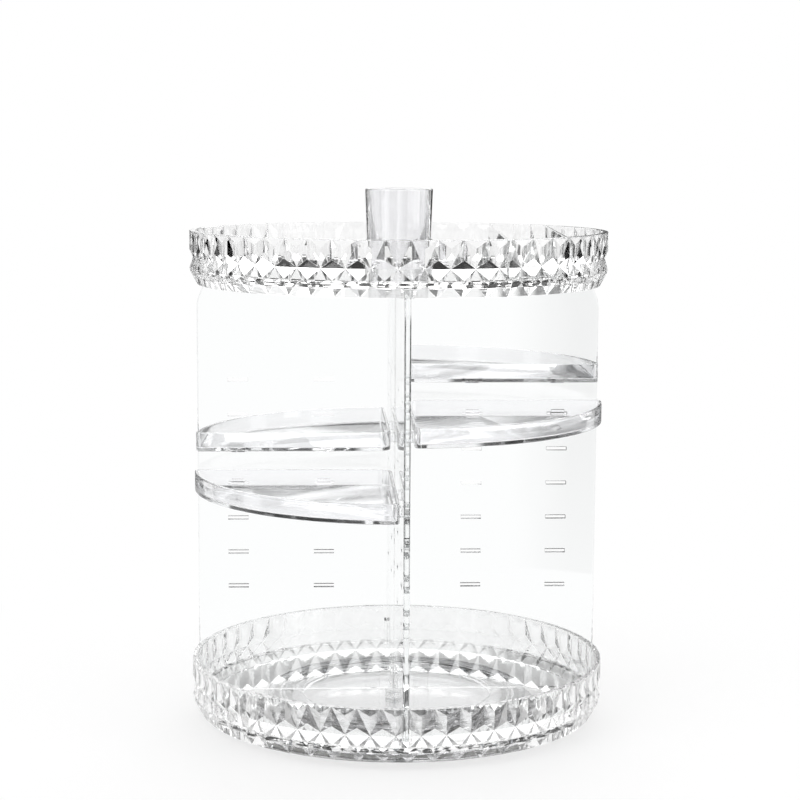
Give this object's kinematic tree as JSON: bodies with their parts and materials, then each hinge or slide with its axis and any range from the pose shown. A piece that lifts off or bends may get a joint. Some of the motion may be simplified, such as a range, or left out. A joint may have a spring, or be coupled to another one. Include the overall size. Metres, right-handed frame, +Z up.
{
  "type": "rotating make-up organizer",
  "caption": "Clear round turntable organizer: diamond-cut round trays above and below, slotted upright panels with hook-in quarter-round trays between, and a brush cup and a rack on top.",
  "frame": {"origin": "on the table, under the centre of the foot, where the spin axis meets the undersides of the pads", "axes": "+Z up along the spin axis, -Y out along the front panel, +X out along the right panel"},
  "size_m": [0.2838, 0.284, 0.3647],
  "materials": {
    "diamond_clear": "clear, polished, diamond cut",
    "panel_clear": "clear, polished",
    "fan_tray_clear": "clear, polished",
    "cup_clear": "clear, polished",
    "rack_clear": "clear, polished",
    "foot_clear": "clear, polished",
    "race_clear": "clear, polished",
    "cage_white": "white, moulded",
    "ball_white": "white, ground",
    "pad_rubber": "translucent silicone",
    "screw_steel": "zinc plated"
  },
  "bodies": {
    "base": {"base_disc": "foot_clear", "anti_slip_pads": "pad_rubber"},
    "cage": {"ball_cage": "cage_white", "bearing_balls": "ball_white"},
    "carousel": {"bottom_tray": "diamond_clear", "race_ring": "race_clear", "ring_screws": "screw_steel", "pivot_screw": "screw_steel", "pivot_washer": "screw_steel", "front_panel": "panel_clear", "back_panel": "panel_clear", "left_panel": "panel_clear", "right_panel": "panel_clear"},
    "top_tray": {"top_tray": "diamond_clear"},
    "brush_cup": {"brush_cup": "cup_clear"},
    "lipstick_rack": {"lipstick_rack": "rack_clear"},
    "front_left_tray": {"front_left_tray": "fan_tray_clear"},
    "front_right_tray": {"front_right_tray": "fan_tray_clear"},
    "back_left_tray": {"back_left_tray": "fan_tray_clear"},
    "back_right_tray": {"back_right_tray": "fan_tray_clear"}
  },
  "joints": [
    {"name": "carousel_spin", "type": "hinge", "parent": "base", "child": "carousel", "pos_m": [0, 0, 0], "axis": [0, 0, 1], "continuous": true},
    {"name": "cage_spin", "type": "hinge", "parent": "base", "child": "cage", "pos_m": [0, 0, 0], "axis": [0, 0, 1], "continuous": true},
    {"name": "top_tray_lift", "type": "slide", "parent": "carousel", "child": "top_tray", "axis": [0, 0, 1], "range_m": [0, 0.06]},
    {"name": "brush_cup_lift", "type": "slide", "parent": "top_tray", "child": "brush_cup", "axis": [0, 0, 1], "range_m": [0, 0.06]},
    {"name": "lipstick_rack_lift", "type": "slide", "parent": "top_tray", "child": "lipstick_rack", "axis": [0, 0, 1], "range_m": [0, 0.04]},
    {"name": "back_right_tray_pull", "type": "slide", "parent": "carousel", "child": "back_right_tray", "axis": [0.7071, 0.7071, 0], "range_m": [0, 0.145]},
    {"name": "back_left_tray_pull", "type": "slide", "parent": "carousel", "child": "back_left_tray", "axis": [-0.7071, 0.7071, 0], "range_m": [0, 0.145]},
    {"name": "front_left_tray_pull", "type": "slide", "parent": "carousel", "child": "front_left_tray", "axis": [-0.7071, -0.7071, 0], "range_m": [0, 0.145]},
    {"name": "front_right_tray_pull", "type": "slide", "parent": "carousel", "child": "front_right_tray", "axis": [0.7071, -0.7071, 0], "range_m": [0, 0.145]}
  ],
  "couplings": [
    {"joint": "cage_spin", "follows": "carousel_spin", "ratio": 0.5}
  ]
}
